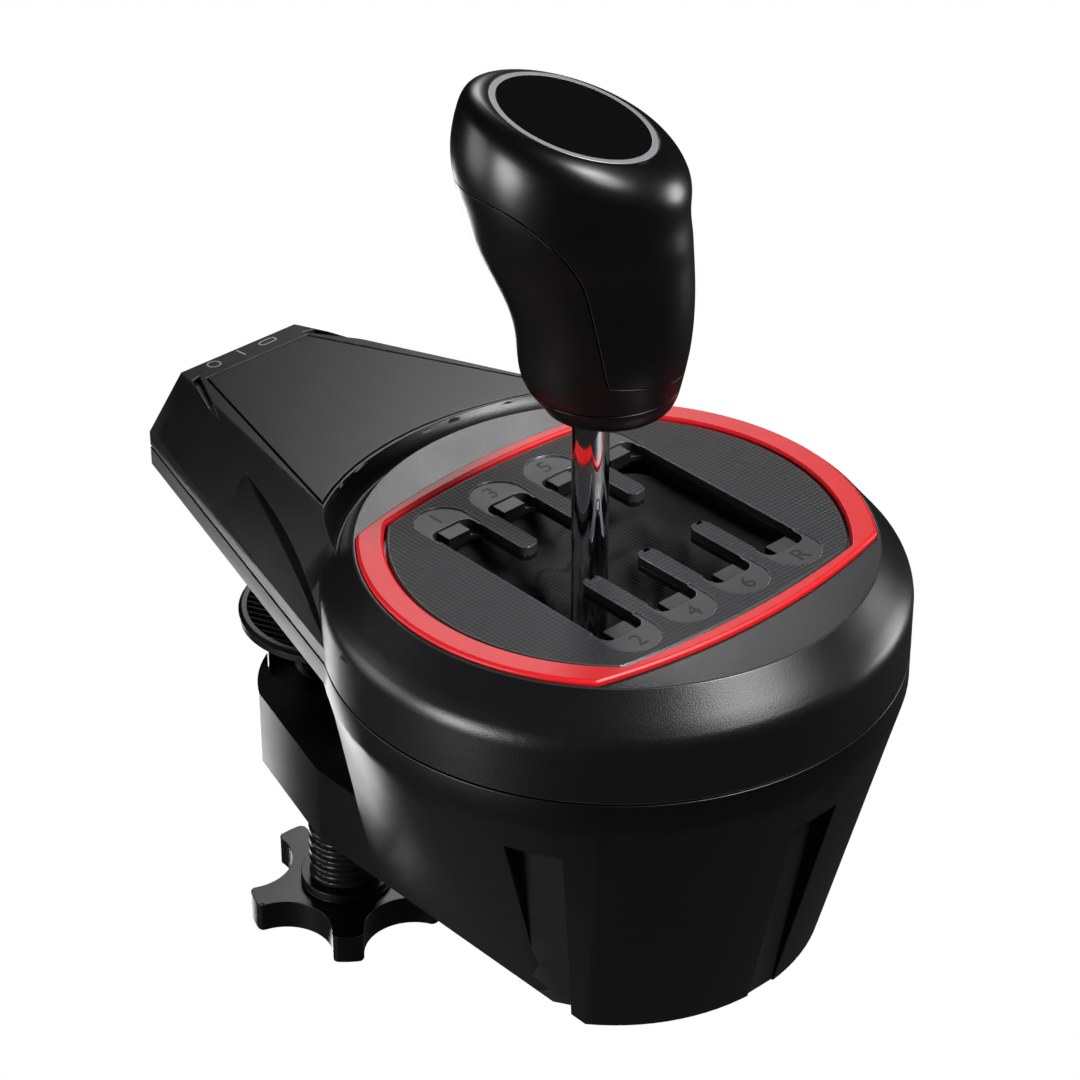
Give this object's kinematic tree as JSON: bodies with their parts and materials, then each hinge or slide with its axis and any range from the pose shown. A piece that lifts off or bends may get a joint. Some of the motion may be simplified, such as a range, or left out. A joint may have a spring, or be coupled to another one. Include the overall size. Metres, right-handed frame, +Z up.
{
  "type": "sim racing gear shifter",
  "caption": "Desk-clamped H-pattern gear shifter for driving games, with a sprung gimbal lever, red-ringed shift gate and screw clamp",
  "frame": {"origin": "On the clamp screw's axis, at the underside of the desk pad, which is the face that rests on the desk", "axes": "+X to the driver's right, +Y away from the driver along the tail, +Z up"},
  "size_m": [0.153, 0.232, 0.3138],
  "materials": {
    "shell_black": "fine-textured moulded black",
    "bucket_black": "smooth satin black",
    "gate_grey": "grained dark grey plate with bright cut edges",
    "ring_red": "satin bright red",
    "liner_black": "glossy black",
    "boot_fabric": "woven black fabric",
    "rubber_black": "matte ribbed rubber",
    "screw_steel": "plain steel",
    "thread_black": "black-coated thread",
    "frame_steel": "folded steel plate",
    "bush_brass": "turned brass",
    "board_green": "solder-masked board",
    "chip_black": "moulded chip",
    "yoke_alloy": "cast alloy",
    "rod_chrome": "polished chrome",
    "knob_black": "satin black grip",
    "emblem_black": "gloss black blank disc"
  },
  "bodies": {
    "base": {"top_shell": "shell_black", "tail_panel": "shell_black", "gate_plate": "gate_grey", "gate_ring": "ring_red", "gate_liner": "liner_black", "boot_frame": "liner_black", "shift_boot": "boot_fabric", "lower_shell": "bucket_black", "desk_pad": "rubber_black", "clamp_arm": "bucket_black", "arm_screws": "screw_steel", "clamp_nut": "screw_steel", "gimbal_frame": "frame_steel", "frame_screws": "screw_steel", "yoke_bushes": "bush_brass", "centring_springs": "screw_steel", "select_sensor_board": "board_green", "main_board": "board_green", "board_chips": "chip_black", "usb_c_port": "screw_steel", "din_port": "liner_black", "shell_screws": "screw_steel", "gate_screws": "screw_steel"},
    "pad": {"pressure_pad": "bucket_black", "pad_face": "rubber_black", "pad_clip": "screw_steel"},
    "screw": {"clamp_screw": "thread_black", "star_knob": "bucket_black"},
    "yoke": {"yoke": "yoke_alloy", "yoke_axles": "screw_steel", "shift_axle": "screw_steel", "axle_clips": "screw_steel", "detent_cam": "frame_steel", "yoke_magnet": "screw_steel", "shift_sensor_board": "board_green"},
    "lever": {"pivot_block": "yoke_alloy", "block_bushes": "bush_brass", "lever_rod": "rod_chrome", "lever_lock_nut": "rod_chrome", "boot_collar": "liner_black", "knob_core": "yoke_alloy", "knob_main_shell": "knob_black", "knob_side_shell": "knob_black", "knob_collar": "knob_black", "knob_emblem": "emblem_black", "emblem_ring": "rod_chrome", "detent_plunger": "screw_steel", "detent_spring": "screw_steel", "lever_magnet": "screw_steel"}
  },
  "joints": [
    {"name": "lever_select", "type": "hinge", "parent": "base", "child": "yoke", "pos_m": [-0.0095, -0.115, -0.048], "axis": [0, 1, 0], "range_deg": [-13, 24.7], "stiffness_Nm_per_rad": 3, "deforming": ["shift_boot"]},
    {"name": "lever_shift", "type": "hinge", "parent": "yoke", "child": "lever", "pos_m": [-0.0095, -0.115, -0.048], "axis": [1, 0, 0], "range_deg": [-14.2, 14.2], "deforming": ["shift_boot"]},
    {"name": "clamp_slide", "type": "slide", "parent": "base", "child": "pad", "axis": [0, 0, 1], "range_m": [0, 0.04]},
    {"name": "clamp_spin", "type": "hinge", "parent": "pad", "child": "screw", "pos_m": [0, 0, -0.0484], "axis": [0, 0, 1], "range_deg": [0, 3600]}
  ],
  "couplings": [
    {"joint": "clamp_slide", "follows": "clamp_spin", "m_per_rad": 0.0006366}
  ]
}
